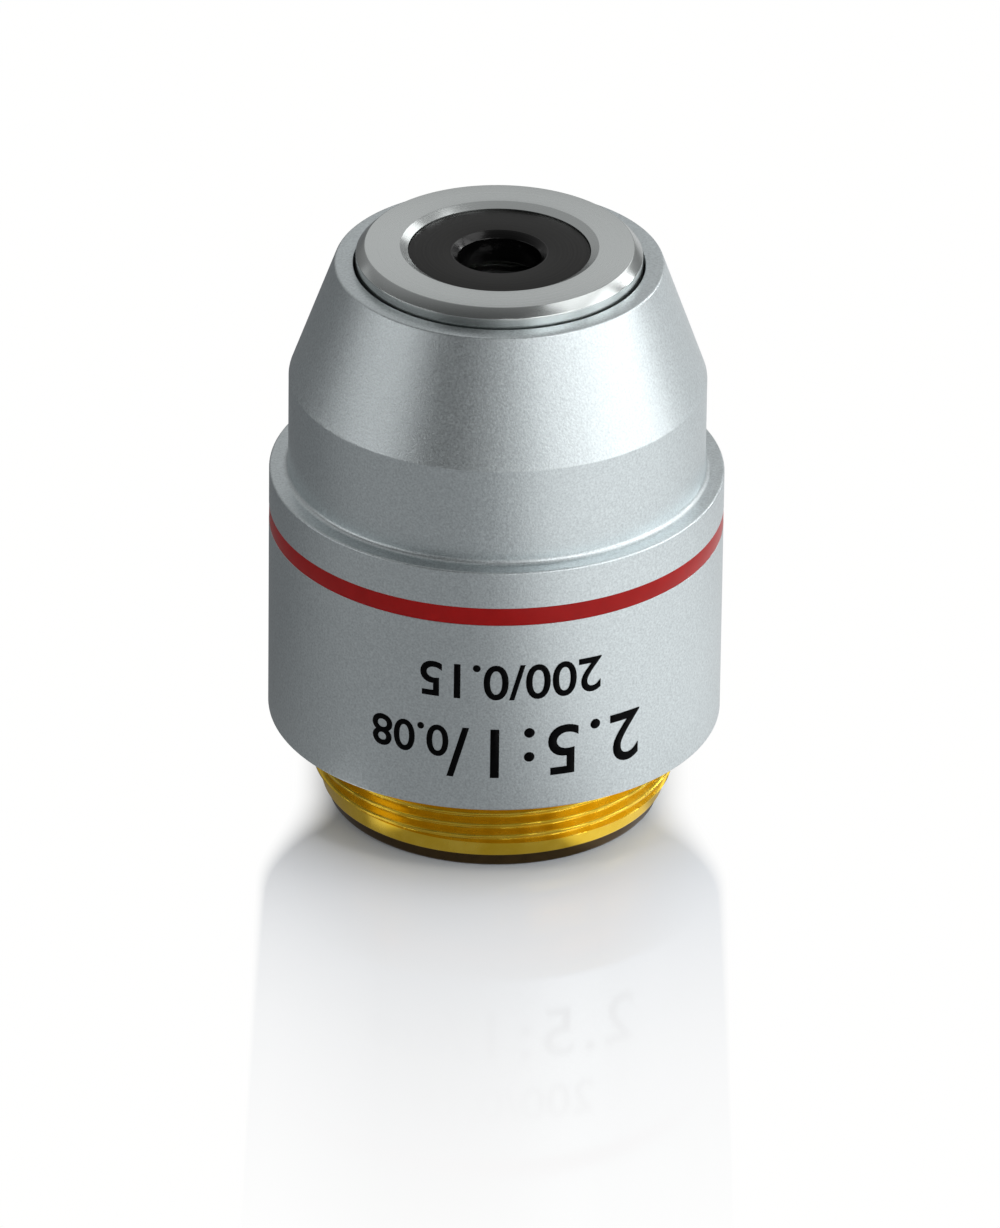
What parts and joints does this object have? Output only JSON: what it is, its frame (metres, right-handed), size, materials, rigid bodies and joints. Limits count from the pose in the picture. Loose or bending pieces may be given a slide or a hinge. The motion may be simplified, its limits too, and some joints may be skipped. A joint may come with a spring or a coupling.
{
  "type": "microscope objective",
  "caption": "Low-power microscope objective: satin stepped shell with a coned nose and a red band, bright front ring, black lens mount and a brass screw thread.",
  "frame": {"origin": "centre of the rear end face that it stands on, on the optical axis; the mounting shoulder is 5.4 mm above it", "axes": "+Z along the optical axis, from the rear end towards the front lens; the part is turned, so X and Y are free but for the spanner slots, which lie along X"},
  "size_m": [0.0254, 0.0254, 0.034],
  "materials": {
    "satin_shell": "satin plating over a blasted surface",
    "red_enamel": "gloss enamel",
    "thread_brass": "turned, lacquered",
    "turned_metal": "fine turned",
    "black_finish": "satin black",
    "black_aluminium": "black anodised",
    "crown_glass": "polished, coated",
    "flint_glass": "polished, coated"
  },
  "bodies": {
    "root": {"outer_sleeve": "satin_shell", "colour_band": "red_enamel", "mount_body": "thread_brass", "rear_stop_ring": "black_finish", "lens_barrel": "turned_metal", "parfocal_shim": "thread_brass", "barrel_lock_ring": "black_aluminium", "barrel_retainer": "black_aluminium", "front_cell": "black_finish", "front_crown_lens": "crown_glass", "front_flint_lens": "flint_glass", "front_retainer": "black_aluminium", "front_spacer": "black_aluminium", "middle_cell": "black_aluminium", "middle_lens": "flint_glass", "middle_retainer": "black_aluminium", "aperture_stop": "black_aluminium", "rear_spacer": "black_aluminium", "rear_cell": "black_aluminium", "rear_crown_lens": "crown_glass", "rear_flint_lens": "flint_glass", "rear_retainer": "black_aluminium"}
  },
  "joints": []
}
